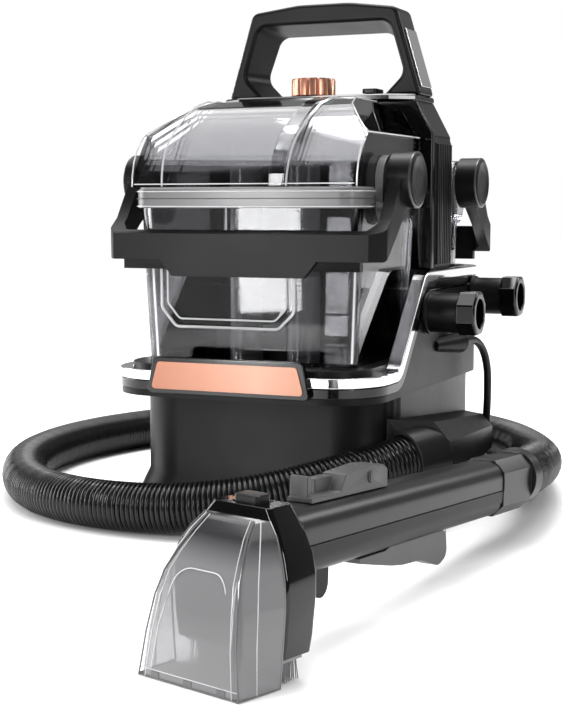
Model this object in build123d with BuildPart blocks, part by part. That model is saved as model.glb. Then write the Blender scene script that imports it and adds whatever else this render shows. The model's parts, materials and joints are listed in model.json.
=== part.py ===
"""Portable spot extractor with steam: a machine with two lift-off tanks, a suction
hose that loops around it on the floor, and a hand tool lying in front.

Frame: +Z up, +X to the machine's left-hand side seen from the front, -Y to the front.
The origin lies on the floor, midway between the two tank bails' pivots. Millimetres.
"""

import os
from math import cos, radians, sin, tan

from build123d import *

os.makedirs("parts", exist_ok=True)

# ---------------------------------------------------------------- driving dimensions

# Pedestal and cradle: the floor-standing body
WALL = 3
CORNER = 45
PEDESTAL_HALF = 112
PEDESTAL_FRONT = -130
PEDESTAL_BACK = 136
PEDESTAL_TOP = 100
CRADLE_HALF = 115
CRADLE_FRONT = -172
CRADLE_BACK = 152
BASE_BOTTOM = 8
SKIRT_TOP = 30
SKIRT_FLARE = 8

# The cradle's rim, seen from the side: low in front, a slope, high at the back
RIM_FRONT = 121
RIM_BACK = 197
RIM_KNEE_Y = -102
RIM_KINK_Y = -34
RIM_SLOPE = 48.2
RIM_BAND = 8
RIM_INNER_HALF = 104
RIM_INNER_FRONT = -166
RIM_INNER_BACK = 146
DECK_Z = 186.9
TRAY_TOP = 125.7

# Tanks and their bails
TANK_HALF = 96
PIPE_SPOTS = ((-30, -75), (22, -75))
BAIL_PIVOT_Y = 91.6
BAIL_PIVOT_Z = 272
BAIL_HUB_RADIUS = 22.3
BAIL_OUTER = 127.7
BAIL_HUB_INNER = 107.5
PIVOT_PIN_RADIUS = 7
EAR_OUTER = 104
GRIP_OFFSET = 14
GRIP_DEPTH = 6.5

# Tower and handle
TOWER_HALF = 104
TOWER_FRONT = 8
TOWER_BACK = 66
TOWER_TOP = 342
SHOULDER_Z = 312
DECK_TOP = 347
HANDLE_FRONT = 20
HANDLE_BACK = 60
KNOB_X = -9
KNOB_Y = 22

# Tool posts
POST_SPOTS = ((-31, 163.5), (103, 170))
POST_BORE = 12.2

# Hose port on the machine's side, and the hose
PORT_ORIGIN = (134, -107, 55.5)
PORT_DIRECTION = (-0.521, -0.842, -0.14)
HOSE_RADIUS = 19.25
HOSE_ROUTE = [
    PORT_ORIGIN, (113.2, -140.6, 49.9), (85.3, -170.8, 42), (51.3, -195.5, 33),
    (8.7, -212.7, 25), (-40.5, -221.4, 20.5), (-94.5, -219.5, 19.4), (-144, -203.4, 19.4),
    (-186, -172.8, 19.4), (-220, -130, 19.4), (-247, -82, 19.4), (-264, -28, 19.4),
    (-270, 34, 19.4), (-262, 98, 19.4), (-240, 158, 19.4), (-204, 212, 19.4),
    (-154, 255, 19.4), (-94, 282, 19.4), (-30, 292, 19.4), (32, 284, 19.4),
    (86, 256, 19.4), (128, 213, 19.6), (154.5, 163, 21.5), (174, 112, 25.5),
    (190.5, 60, 30.5), (202.5, 10, 36.3), (210.5, -38, 41.3), (214, -83, 45),
    (212.3, -123.4, 47.2),
]

# Power cord: strain relief on the body's side, a fall to the floor, a coil at the back
GLAND_ORIGIN = (123, 36, 133)
GLAND_DIRECTION = (0.1, 0.995, 0)
GLAND_LENGTH = 10
CORD_RADIUS = 3.5
CORD_ROUTE = [
    (124, 46, 133), (125.2, 58.3, 133), (126.6, 70.7, 132.4), (128, 82.5, 128.6),
    (129.6, 92.4, 121), (130.8, 99, 110.3), (131.4, 102, 98), (131, 103.8, 82),
    (129.8, 107, 66), (127.8, 111.5, 51), (125, 117.5, 37.5), (121.5, 126, 25),
    (116, 137, 14.5), (108, 149, 7.2), (97.5, 161.5, 4.1), (85, 175, 3.6),
    (70, 191, 3.6), (54, 210, 3.6), (39, 226.5, 3.6), (24, 240, 3.6),
]
COIL_CENTRE = (-30, 209)
COIL_OUTER = 59.5
COIL_INNER = 31
COIL_HEIGHT = 28.5

# Hand tool: the wand's axis runs from its front end to its tail
WAND_FRONT = Vector(167, -480, 68)
WAND_TAIL = Vector(213.8, -111.5, 46.5)
NOZZLE_FOOT = Vector(147, -534, 0)
NOZZLE_YAW = -17


# ------------------------------------------------------------------- shared geometry

def slab(half_width, front, back, radius, bottom, height):
    """Upright block on a rounded rectangle that reaches from front to back."""
    with BuildPart() as block:
        with BuildSketch(Plane.XY.offset(bottom)):
            with Locations((0, (front + back) / 2)):
                RectangleRounded(2 * half_width, back - front, radius)
        extrude(amount=height)
    return block.part


def tapered_slab(low, high, bottom, top, radius):
    """Upright block between two rounded rectangles, each (half width, front, back)."""
    with BuildPart() as block:
        for (half_width, front, back), z in ((low, bottom), (high, top)):
            with BuildSketch(Plane.XY.offset(z)):
                with Locations((0, (front + back) / 2)):
                    RectangleRounded(2 * half_width, back - front, radius)
        loft()
    return block.part


def rim_line(depth):
    """Side view of the cradle's rim, depth below its top edge, from front to back."""
    shift = depth * tan(radians(RIM_SLOPE / 2))
    return [
        (CRADLE_FRONT - 40, RIM_FRONT - depth),
        (RIM_KNEE_Y + shift, RIM_FRONT - depth),
        (RIM_KINK_Y + shift, RIM_BACK - depth),
        (CRADLE_BACK + 40, RIM_BACK - depth),
    ]


def above_rim(depth):
    """Everything above the rim line at that depth, as wide as the machine."""
    points = rim_line(depth)
    with BuildPart() as region:
        with BuildSketch(Plane.YZ):
            with BuildLine():
                FilletPolyline(*points, radius=[16 + depth, 20 - depth])
                Polyline(points[-1], (points[-1][0], 400), (points[0][0], 400), points[0])
            make_face()
        extrude(amount=200, both=True)
    return region.part


def rim_band(proud, top_depth, bottom_depth):
    """One band of the rim: a closed ring between two depths, standing proud outside."""
    with BuildPart() as band:
        add(slab(CRADLE_HALF + proud, CRADLE_FRONT - proud, CRADLE_BACK + proud,
                 CORNER + proud, PEDESTAL_TOP, 110))
        add(slab(RIM_INNER_HALF, RIM_INNER_FRONT, RIM_INNER_BACK, 36,
                 PEDESTAL_TOP - 5, 130), mode=Mode.SUBTRACT)
        add(above_rim(bottom_depth), mode=Mode.INTERSECT)
        add(above_rim(top_depth), mode=Mode.SUBTRACT)
    return band


def house(half_width, shoulder, top, front, back):
    """Tower volume: upright sides, sloping shoulders and a flat top."""
    with BuildPart() as volume:
        with BuildSketch(Plane.XZ.offset(-front)):
            with BuildLine():
                Polyline(
                    (-half_width, RIM_BACK), (-half_width, shoulder),
                    (-half_width + 16, top), (half_width - 16, top),
                    (half_width, shoulder), (half_width, RIM_BACK),
                    close=True,
                )
            make_face()
        extrude(amount=-(back - front))
    return volume.part


def lid_volume(inset, bottom):
    """The domed lid's volume, pulled in by inset."""
    with BuildPart() as volume:
        with BuildSketch(Plane.YZ):
            with BuildLine():
                ThreePointArc((-151 + inset, bottom), (-129.5 + inset, 303 - inset),
                              (-88 + inset / 2, 333 - inset))
                Polyline(
                    (-88 + inset / 2, 333 - inset), (-62, 339 - inset),
                    (-12 - inset, 339 - inset), (2 - inset, 332 - inset),
                    (2 - inset, bottom), (-151 + inset, bottom),
                )
            make_face()
        extrude(amount=97 - inset, both=True)
        with BuildSketch(Plane.XZ.offset(-40)):
            with BuildLine():
                Polyline(
                    (-97 + inset, bottom), (-97 + inset, 309), (-62, 340 - inset),
                    (62, 340 - inset), (97 - inset, 309), (97 - inset, bottom),
                    close=True,
                )
            make_face()
        extrude(amount=240, mode=Mode.INTERSECT)
    return volume.part


def bail(direction):
    """A tank's carrying bail: a bar, two arms and two hubs. direction is -1 in front."""
    with BuildPart() as loop:
        with BuildSketch(Plane.YZ):
            with BuildLine():
                Polyline(
                    (direction * 160, 209), (direction * 160, 230),
                    (direction * 149, 232), (direction * 136, 242),
                    (direction * 113.5, 274), (direction * 91.6, 286),
                    (direction * 91.6, 252), (direction * 115, 236),
                    (direction * 138, 216), (direction * 148, 209),
                    close=True,
                )
            make_face()
        extrude(amount=120, both=True)
        with BuildSketch(Plane.XY.offset(190)):
            with BuildLine():
                Polyline(
                    (-120, direction * 60), (-120, direction * 146),
                    (-110, direction * 160), (110, direction * 160),
                    (120, direction * 146), (120, direction * 60),
                    (110, direction * 60), (110, direction * 141),
                    (104, direction * 148), (-104, direction * 148),
                    (-110, direction * 141), (-110, direction * 60),
                    close=True,
                )
            make_face()
        extrude(amount=120, mode=Mode.INTERSECT)
        with Locations((0, direction * 153.2, 205.5)):
            Box(204, 7, 8)
        # deeper grip, off centre, in line with the bar's outer face
        with BuildSketch(Plane.XZ.offset(-direction * 160)):
            with Locations((direction * GRIP_OFFSET, 0)):
                with BuildLine():
                    Polyline((-67, 212), (-67, 208), (-57, 196), (57, 196), (67, 208),
                             (67, 212), close=True)
                make_face()
        extrude(amount=direction * GRIP_DEPTH)
        for side in (-1, 1):
            with BuildSketch(Plane.YZ.offset(side * BAIL_HUB_INNER)):
                with Locations((direction * BAIL_PIVOT_Y, BAIL_PIVOT_Z)):
                    Circle(BAIL_HUB_RADIUS)
            extrude(amount=side * (BAIL_OUTER - 2 - BAIL_HUB_INNER))
            with BuildSketch(Plane.YZ.offset(side * (BAIL_HUB_INNER - 1))):
                with Locations((direction * BAIL_PIVOT_Y, BAIL_PIVOT_Z)):
                    Circle(PIVOT_PIN_RADIUS + 0.1)
            extrude(amount=side * 16, mode=Mode.SUBTRACT)
    return loop


def hub_caps(direction):
    """The two domed discs that close a bail's hubs."""
    with BuildPart() as caps:
        for side in (-1, 1):
            with BuildSketch(Plane.YZ.offset(side * (BAIL_OUTER - 2))):
                with Locations((direction * BAIL_PIVOT_Y, BAIL_PIVOT_Z)):
                    Circle(BAIL_HUB_RADIUS - 2.5)
            extrude(amount=side * 2)
    return caps


def pivot_ears(direction, inner):
    """Two ears on a tank's sides, each with the pin that its bail turns on."""
    with BuildPart() as ears:
        for side in (-1, 1):
            with BuildSketch(Plane.YZ.offset(side * inner)):
                with Locations((direction * BAIL_PIVOT_Y, BAIL_PIVOT_Z - 8)):
                    SlotCenterToCenter(16, 40, rotation=90)
            extrude(amount=side * (EAR_OUTER - inner))
            with BuildSketch(Plane.YZ.offset(side * EAR_OUTER)):
                with Locations((direction * BAIL_PIVOT_Y, BAIL_PIVOT_Z)):
                    Circle(PIVOT_PIN_RADIUS)
            extrude(amount=side * 17)
    return ears.part


def tube(points, radius, radii):
    """Tube along straight runs joined by tangent arcs."""
    with BuildPart() as pipe:
        with BuildLine() as path:
            FilletPolyline(*points, radius=radii)
        with BuildSketch(Plane(origin=path.line @ 0, z_dir=path.line % 0)):
            Circle(radius)
        sweep()
    return pipe


def route_radii(points):
    """Arc radius at each inner point: 0.45 of the shorter run over tan(half the turn)."""
    vectors = [Vector(*p) for p in points]
    radii = []
    for before, here, after in zip(vectors, vectors[1:], vectors[2:]):
        turn = (here - before).get_angle(after - here)
        shorter = min((here - before).length, (after - here).length)
        radii.append(0.45 * shorter / tan(radians(turn / 2)))
    return radii


port_plane = Plane(origin=PORT_ORIGIN, z_dir=PORT_DIRECTION)
gland_plane = Plane(origin=GLAND_ORIGIN, z_dir=GLAND_DIRECTION)

# -------------------------------------------------------------------------- the base

with BuildPart() as base_shell:
    add(tapered_slab(
        (PEDESTAL_HALF + SKIRT_FLARE, PEDESTAL_FRONT - SKIRT_FLARE, PEDESTAL_BACK + SKIRT_FLARE),
        (PEDESTAL_HALF, PEDESTAL_FRONT, PEDESTAL_BACK), BASE_BOTTOM, SKIRT_TOP, CORNER))
    add(slab(PEDESTAL_HALF, PEDESTAL_FRONT, PEDESTAL_BACK, CORNER, SKIRT_TOP,
             PEDESTAL_TOP - SKIRT_TOP))
    add(slab(CRADLE_HALF, CRADLE_FRONT, CRADLE_BACK, CORNER, PEDESTAL_TOP, 80))
    add(above_rim(2 * RIM_BAND), mode=Mode.SUBTRACT)
    # tank bay, then the hollow pedestal and the hollow rear body
    add(slab(RIM_INNER_HALF, RIM_INNER_FRONT, 6, 36, 104, 100), mode=Mode.SUBTRACT)
    add(slab(PEDESTAL_HALF - WALL, PEDESTAL_FRONT + WALL, PEDESTAL_BACK - WALL,
             CORNER - WALL, BASE_BOTTOM, PEDESTAL_TOP - WALL - BASE_BOTTOM), mode=Mode.SUBTRACT)
    add(slab(PEDESTAL_HALF - WALL, 10, PEDESTAL_BACK - WALL, 30, 90, 87), mode=Mode.SUBTRACT)
    # deck under the clean tank and plinth under the tower, with a passage for wiring
    add(slab(RIM_INNER_HALF - 0.4, 7, RIM_INNER_BACK - 0.4, 35, 177, DECK_Z - 177))
    add(slab(100, 10, 64, 6, 177, RIM_BACK - 177))
    # screw bosses, each on a web from the side wall
    with BuildSketch(Plane.XY.offset(BASE_BOTTOM)):
        with GridLocations(176, 190, 2, 2):
            Circle(5.5)
        with GridLocations(200, 190, 2, 2):
            Rectangle(20, 4)
    extrude(amount=20)
    with BuildSketch(Plane.XY.offset(BASE_BOTTOM)):
        with GridLocations(176, 190, 2, 2):
            Circle(2.1)
    extrude(amount=16, mode=Mode.SUBTRACT)
    # exhaust slots in the back wall
    with BuildSketch(Plane.XZ.offset(-PEDESTAL_BACK - 5)):
        with Locations((-20, 60)):
            with GridLocations(9, 0, 9, 1):
                SlotCenterToCenter(30, 4, rotation=90)
    extrude(amount=20, mode=Mode.SUBTRACT)
    # suction duct through the side wall, tool post spigots, tank valve, tower passage
    with BuildSketch(Plane.YZ.offset(90)):
        with Locations((-60, 52)):
            Circle(15.5)
        with Locations(*POST_SPOTS):
            Circle(7)
    extrude(amount=40, mode=Mode.SUBTRACT)
    with BuildSketch(Plane.XY.offset(170)):
        with Locations((40, 107)):
            Circle(8.05)
        with Locations((0, 39)):
            RectangleRounded(120, 34, 6)
    extrude(amount=30, mode=Mode.SUBTRACT)
    with BuildSketch(Plane.XY.offset(DECK_Z - 1.8)):
        with Locations((40, 107)):
            Circle(12.3)
    extrude(amount=5, mode=Mode.SUBTRACT)
    # fairing for the power cord's strain relief, its counterbore, bore and way inside
    with BuildSketch(Plane(origin=(113, -6, GLAND_ORIGIN[2]), z_dir=GLAND_DIRECTION)):
        Circle(5)
    with BuildSketch(gland_plane):
        Circle(9.5)
    loft()
    with BuildSketch(gland_plane.offset(-4)):
        Circle(7.2)
    extrude(amount=4, mode=Mode.SUBTRACT)
    with BuildSketch(gland_plane.offset(-15)):
        Circle(5)
    extrude(amount=11, mode=Mode.SUBTRACT)
    with BuildSketch(Plane.YZ.offset(105)):
        with Locations((25, GLAND_ORIGIN[2])):
            Circle(4)
    extrude(amount=16, mode=Mode.SUBTRACT)
    # ports in the bay's floor, under the recovery tank's standpipes
    with BuildSketch(Plane.XY.offset(90)):
        with Locations(*PIPE_SPOTS):
            Circle(12)
    extrude(amount=20, mode=Mode.SUBTRACT)

with BuildPart() as base_plate:
    add(slab(116, -134, 140, CORNER, 4, 4))
    with BuildSketch(Plane.XY.offset(4)):
        with GridLocations(176, 190, 2, 2):
            Circle(2.2)
    extrude(amount=4, mode=Mode.SUBTRACT)
    with BuildSketch(Plane.XY.offset(4)):
        with GridLocations(176, 190, 2, 2):
            Circle(4.6)
    extrude(amount=2, mode=Mode.SUBTRACT)
    with BuildSketch(Plane.XY.offset(4)):
        with Locations((-40, 0)):
            with GridLocations(0, 9, 1, 7):
                SlotCenterToCenter(50, 4)
    extrude(amount=4, mode=Mode.SUBTRACT)

with BuildPart() as rubber_feet:
    with BuildSketch(Plane.XY):
        with GridLocations(150, 214, 2, 2):
            Circle(12)
    extrude(amount=4)

with BuildPart() as base_screws:
    with BuildSketch(Plane.XY.offset(4)):
        with GridLocations(176, 190, 2, 2):
            Circle(4)
    extrude(amount=2)
    with BuildSketch(Plane.XY.offset(4)):
        with GridLocations(176, 190, 2, 2):
            Circle(1.95)
    extrude(amount=16)
    with BuildSketch(Plane.XY.offset(4)):
        with GridLocations(176, 190, 2, 2):
            Rectangle(5, 1)
            Rectangle(1, 5)
    extrude(amount=1, mode=Mode.SUBTRACT)

rim_black = rim_band(0.6, RIM_BAND, 2 * RIM_BAND)
rim_chrome = rim_band(1.2, 0, RIM_BAND)

with BuildPart() as badge_bezel:
    with BuildSketch(Plane.XZ.offset(-CRADLE_FRONT + 1.2)):
        with BuildLine():
            Polyline((-70, 104), (-64, 133), (64, 133), (70, 104), close=True)
        make_face()
        fillet(vertices(), radius=4)
    extrude(amount=5.8)

with BuildPart() as badge_plate:
    with BuildSketch(Plane.XZ.offset(-CRADLE_FRONT + 7)):
        with BuildLine():
            Polyline((-65.6, 107.6), (-59.7, 129.4), (59.7, 129.4), (65.6, 107.6), close=True)
        make_face()
        fillet(vertices(), radius=3)
    extrude(amount=1.2)

with BuildPart() as tank_tray:
    add(slab(RIM_INNER_HALF - 0.4, RIM_INNER_FRONT + 0.4, 5.6, 35.6, 104, TRAY_TOP - 104))
    add(slab(RIM_INNER_HALF - 3.4, RIM_INNER_FRONT + 3.4, 2.6, 32.6, 104, TRAY_TOP - 107),
        mode=Mode.SUBTRACT)
    with BuildSketch(Plane.XY.offset(104)):
        with Locations(*PIPE_SPOTS):
            Circle(14.5)
    extrude(amount=TRAY_TOP - 107)
    with BuildSketch(Plane.XY.offset(104)):
        with Locations(*PIPE_SPOTS):
            Circle(12)
    extrude(amount=TRAY_TOP - 104, mode=Mode.SUBTRACT)

# ----------------------------------------------------------------- the recovery tank

with BuildPart() as recovery_tank:
    add(tapered_slab((91, -143, -3), (TANK_HALF, -146, 1), 126, 250, 14))
    add(tapered_slab((88.5, -140.5, -5.5), (TANK_HALF - 2.5, -143.5, -1.5), 129, 250, 11.5),
        mode=Mode.SUBTRACT)
    with BuildSketch(Plane.XY.offset(120)):
        with Locations(*PIPE_SPOTS):
            Circle(12)
    extrude(amount=12, mode=Mode.SUBTRACT)

with BuildPart() as tank_collar:
    add(slab(98, -151, 3, 16, 250, 15))
    add(slab(91, -144, -4, 9, 250, 15), mode=Mode.SUBTRACT)
    add(pivot_ears(-1, 97.5))

with BuildPart() as lid_gasket:
    add(slab(96, -149, 1, 14, 265, 1.5))
    add(slab(92, -145, -3, 10, 265, 1.5), mode=Mode.SUBTRACT)

with BuildPart() as tank_lid:
    add(lid_volume(0, 266.5))
    add(lid_volume(2.5, 266.5), mode=Mode.SUBTRACT)

with BuildPart() as standpipes:
    for spot, height in zip(PIPE_SPOTS, (186, 168)):
        with BuildSketch(Plane.XY.offset(129)):
            with Locations(spot):
                Circle(14)
        extrude(amount=height)
    with BuildSketch(Plane.XY.offset(262)):
        with Locations(PIPE_SPOTS[0]):
            Circle(18)
    extrude(amount=4)
    with BuildSketch(Plane.XY.offset(129)):
        with Locations(*PIPE_SPOTS):
            Circle(12)
    extrude(amount=190, mode=Mode.SUBTRACT)

with BuildPart() as separator_hood:
    with BuildSketch(Plane.XY.offset(297)):
        with Locations((22, -75)):
            RectangleRounded(46, 46, 8)
    extrude(amount=22)
    with BuildSketch(Plane.XY.offset(297)):
        with Locations((22, -75)):
            RectangleRounded(41, 41, 6)
    extrude(amount=19, mode=Mode.SUBTRACT)
    with BuildSketch(Plane.XY.offset(297)):
        with Locations((22, -75)):
            Rectangle(45, 3)
            Circle(13, mode=Mode.SUBTRACT)
    extrude(amount=8)

with BuildPart() as tank_float:
    with BuildSketch(Plane.XY.offset(205)):
        with Locations((-30, -75)):
            Circle(25)
            Circle(14.8, mode=Mode.SUBTRACT)
    extrude(amount=22)
    chamfer(edges().filter_by(GeomType.CIRCLE), length=2)

front_bail = bail(-1)
front_bail_caps = hub_caps(-1)

# ---------------------------------------------------------------------- clean tank

with BuildPart() as clean_tank:
    add(tapered_slab((95, 72, 142), (97, 70, 144), 187, 292, 30))
    add(pivot_ears(1, 96))
    add(tapered_slab((92.5, 74.5, 139.5), (94.5, 72.5, 141.5), 190, 289.5, 27.5),
        mode=Mode.SUBTRACT)
    for lug_x in (-41.5, -18.5):
        with Locations((lug_x, 133, 296.5)):
            Box(3, 6, 9)
    with BuildSketch(Plane.YZ.offset(-43)):
        with Locations((133, 300)):
            Circle(2)
    extrude(amount=26)
    with BuildSketch(Plane.XY.offset(292)):
        with Locations((-30, 107)):
            Circle(22)
    extrude(amount=6)
    with BuildSketch(Plane.XY.offset(285)):
        with Locations((-30, 107)):
            Circle(18)
    extrude(amount=13, mode=Mode.SUBTRACT)
    with BuildSketch(Plane.XY.offset(187)):
        with Locations((40, 107)):
            Circle(8.2)
    extrude(amount=3, mode=Mode.SUBTRACT)

with BuildPart() as fill_cap:
    with BuildSketch(Plane.XY.offset(298)):
        with Locations((-30, 107)):
            Circle(22)
        with Locations((-30, 130)):
            Rectangle(16, 10)
    extrude(amount=4)
    with BuildSketch(Plane.XY.offset(291)):
        with Locations((-30, 107)):
            Circle(16)
    extrude(amount=7)
    with BuildSketch(Plane.YZ.offset(-40)):
        with Locations((133, 300)):
            Circle(2.1)
    extrude(amount=20, mode=Mode.SUBTRACT)

with BuildPart() as tank_valve:
    with BuildSketch(Plane.XY.offset(172)):
        with Locations((40, 107)):
            Circle(8)
    extrude(amount=20)
    with BuildSketch(Plane.XY.offset(185.2)):
        with Locations((40, 107)):
            Circle(12)
    extrude(amount=1.7)
    with BuildSketch(Plane.XY.offset(172)):
        with Locations((40, 107)):
            Circle(4.2)
    extrude(amount=20, mode=Mode.SUBTRACT)

with BuildPart() as valve_plunger:
    with BuildSketch(Plane.XY.offset(174)):
        with Locations((40, 107)):
            Circle(4)
    extrude(amount=18.2)
    with BuildSketch(Plane.XY.offset(192.2)):
        with Locations((40, 107)):
            Circle(7.5)
    extrude(amount=3)

rear_bail = bail(1)
rear_bail_caps = hub_caps(1)

# --------------------------------------------------------------------------- tower

with BuildPart() as tower_cowl:
    add(house(TOWER_HALF + 2, SHOULDER_Z + 2, TOWER_TOP, TOWER_FRONT, TOWER_FRONT + 8))
    add(house(TOWER_HALF - 10, SHOULDER_Z - 4, TOWER_TOP - 10, TOWER_FRONT - 1,
              TOWER_FRONT + 3), mode=Mode.SUBTRACT)

with BuildPart() as tower_shell:
    add(house(TOWER_HALF, SHOULDER_Z, TOWER_TOP, TOWER_FRONT + 8, TOWER_BACK))
    add(house(TOWER_HALF - WALL, SHOULDER_Z, TOWER_TOP - WALL, TOWER_FRONT + 7,
              TOWER_BACK - WALL), mode=Mode.SUBTRACT)
    with BuildSketch(Plane.XY.offset(TOWER_TOP - 6)):
        with Locations((KNOB_X, KNOB_Y), (44, 30)):
            Circle(4.3)
    extrude(amount=10, mode=Mode.SUBTRACT)


with BuildPart() as rib_panels:
    for side in (-1, 1):
        with BuildSketch(Plane.YZ.offset(side * TOWER_HALF)):
            with BuildLine():
                Polyline((18, 199), (18, 306), (22, 310), (60, 310), (64, 306), (64, 199),
                         close=True)
            make_face()
        extrude(amount=side * 1.6)
        with BuildSketch(Plane.YZ.offset(side * (TOWER_HALF + 1.6))):
            with Locations((41, 253)):
                with GridLocations(5.2, 0, 8, 1):
                    Rectangle(2.6, 104)
        extrude(amount=side * 2)

with BuildPart() as control_deck:
    with BuildSketch(Plane.XY.offset(TOWER_TOP)):
        with BuildLine():
            Polyline(
                (-70, -4), (70, -4), (90, 10), (90, 62), (84, 66), (-84, 66), (-90, 62),
                (-90, 10), close=True,
            )
        make_face()
    extrude(amount=DECK_TOP - TOWER_TOP)
    with BuildSketch(Plane.XY.offset(TOWER_TOP)):
        with Locations((KNOB_X, KNOB_Y), (44, 30)):
            Circle(4.3)
    extrude(amount=DECK_TOP - TOWER_TOP, mode=Mode.SUBTRACT)
    chamfer(faces().sort_by(Axis.Z)[-1].outer_wire().edges(), length=1.5)

with BuildPart() as carry_handle:
    with BuildSketch(Plane.XZ.offset(-HANDLE_FRONT)):
        with BuildLine():
            FilletPolyline(
                (-91, DECK_TOP), (-68, 423), (-24, 428.5), (24, 428.5), (68, 423),
                (91, DECK_TOP), radius=[8, 90, 90, 8],
            )
            Line((91, DECK_TOP), (-91, DECK_TOP))
        make_face()
    extrude(amount=HANDLE_FRONT - HANDLE_BACK)
    # the hand's opening narrows from the front face to the back face
    for y, inset in ((HANDLE_FRONT, 0), (HANDLE_BACK, 8)):
        with BuildSketch(Plane.XZ.offset(-y)):
            with BuildLine():
                FilletPolyline(
                    (-57 + inset, DECK_TOP), (-76 + inset, 366), (-62 + inset, 412 - inset),
                    (62 - inset, 412 - inset), (76 - inset, 366), (57 - inset, DECK_TOP),
                    radius=[12, 12, 12, 12],
                )
                Line((57 - inset, DECK_TOP), (-57 + inset, DECK_TOP))
            make_face()
    loft(mode=Mode.SUBTRACT)


with BuildPart() as handle_strips:
    for side in (-1, 1):
        with BuildSketch(Plane.XZ.offset(-26)):
            with BuildLine():
                Polyline(
                    (side * 88.7, 354), (side * 73.6, 404), (side * 75.4, 404.5),
                    (side * 90.5, 354.5), close=True,
                )
            make_face()
        extrude(amount=-28)
    add(carry_handle.part, mode=Mode.SUBTRACT)

with BuildPart() as mode_knob:
    with BuildSketch(Plane.XY.offset(DECK_TOP + 1)):
        with Locations((KNOB_X, KNOB_Y)):
            Circle(19.5)
        with Locations((KNOB_X, KNOB_Y)):
            with PolarLocations(20, 16):
                Circle(2.2, mode=Mode.SUBTRACT)
    extrude(amount=17)
    chamfer(faces().sort_by(Axis.Z)[-1].outer_wire().edges(), length=0.8)
    with BuildSketch(Plane.XY.offset(331)):
        with Locations((KNOB_X, KNOB_Y)):
            Circle(4)
    extrude(amount=DECK_TOP + 2 - 331)

with BuildPart() as power_button:
    with BuildSketch(Plane.XY.offset(DECK_TOP + 2.5)):
        with Locations((44, 30)):
            RectangleRounded(14, 20, 3)
    extrude(amount=4)
    fillet(faces().sort_by(Axis.Z)[-1].edges(), radius=1)
    with BuildSketch(Plane.XY.offset(332)):
        with Locations((44, 30)):
            Circle(4)
    extrude(amount=DECK_TOP + 2.5 - 332)

with BuildPart() as deck_switches:
    with BuildSketch(Plane.XY.offset(306)):
        with Locations((KNOB_X, 32)):
            Rectangle(34, 30)
    extrude(amount=24.9)
    with BuildSketch(Plane.XY.offset(306)):
        with Locations((44, 34)):
            Rectangle(22, 28)
    extrude(amount=23)

# ----------------------------------------------------------------- inside the base

with BuildPart() as vacuum_motor:
    with BuildSketch(Plane.XY.offset(8.2)):
        with Locations((-45, 40)):
            Circle(41)
    extrude(amount=50)
    with BuildSketch(Plane.XY.offset(50)):
        with Locations((-45, 40)):
            Circle(4.1)
    extrude(amount=9, mode=Mode.SUBTRACT)

with BuildPart() as fan_housing:
    with BuildSketch(Plane.XY.offset(58.4)):
        with Locations((-45, 40)):
            Circle(52)
    extrude(amount=30)
    with BuildSketch(Plane.XY.offset(61)):
        with Locations((-45, 40)):
            Circle(49.5)
    extrude(amount=25, mode=Mode.SUBTRACT)
    with BuildSketch(Plane.XY.offset(58)):
        with Locations((-45, 40)):
            Circle(6)
    extrude(amount=4, mode=Mode.SUBTRACT)
    with BuildSketch(Plane.XY.offset(84)):
        with Locations((-45, 40)):
            Circle(18)
    extrude(amount=84)
    with BuildSketch(Plane.XY.offset(84)):
        with Locations((-45, 40)):
            Circle(14)
    extrude(amount=84, mode=Mode.SUBTRACT)

with BuildPart() as fan_impeller:
    with BuildSketch(Plane.XY.offset(63)):
        with Locations((-45, 40)):
            Circle(46)
    extrude(amount=2)
    with BuildSketch(Plane.XY.offset(65)):
        with Locations((-45, 40)):
            Circle(10)
            with PolarLocations(26.5, 9):
                Rectangle(37, 2)
    extrude(amount=16)
    with BuildSketch(Plane.XY.offset(52)):
        with Locations((-45, 40)):
            Circle(4)
    extrude(amount=12)

with BuildPart() as water_pump:
    with BuildSketch(Plane.XY.offset(8.2)):
        with Locations((-50, -70)):
            RectangleRounded(46, 60, 6)
    extrude(amount=30)
    with BuildSketch(Plane.XY.offset(38.2)):
        with Locations((-50, -62)):
            Circle(17)
    extrude(amount=28)

with BuildPart() as steam_heater:
    with BuildSketch(Plane.XY.offset(8.2)):
        with Locations((58, 60)):
            Circle(33)
    extrude(amount=78)
    fillet(edges().filter_by(GeomType.CIRCLE), radius=6)

with BuildPart() as control_board:
    with BuildSketch(Plane.XY.offset(110)):
        with Locations((60, 60)):
            Rectangle(80, 56)
    extrude(amount=1.6)
    with BuildSketch(Plane.XY.offset(111.6)):
        with Locations((40, 50)):
            Rectangle(18, 18)
        with Locations((78, 70)):
            Rectangle(14, 24)
        with Locations((62, 74)):
            Circle(7)
    extrude(amount=14)

# -------------------------------------------------------- tool posts and hose port


with BuildPart() as tool_posts:
    for start, length, radius in ((112.2, 4.3, 6.8), (116.5, 3, 18), (119.5, 25.5, 16.5)):
        with BuildSketch(Plane.YZ.offset(start)):
            with Locations(*POST_SPOTS):
                Circle(radius)
        extrude(amount=length)
    with BuildSketch(Plane.YZ.offset(122)):
        with Locations(*POST_SPOTS):
            Circle(POST_BORE)
    extrude(amount=24, mode=Mode.SUBTRACT)

with BuildPart() as post_sockets:
    with BuildSketch(Plane.YZ.offset(145)):
        with Locations(*POST_SPOTS):
            RegularPolygon(17.8, 8, major_radius=False, rotation=22.5)
            Circle(POST_BORE, mode=Mode.SUBTRACT)
    extrude(amount=16)
    for end in faces().group_by(Axis.X)[-1]:
        chamfer(end.outer_wire().edges(), length=1.5)

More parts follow.
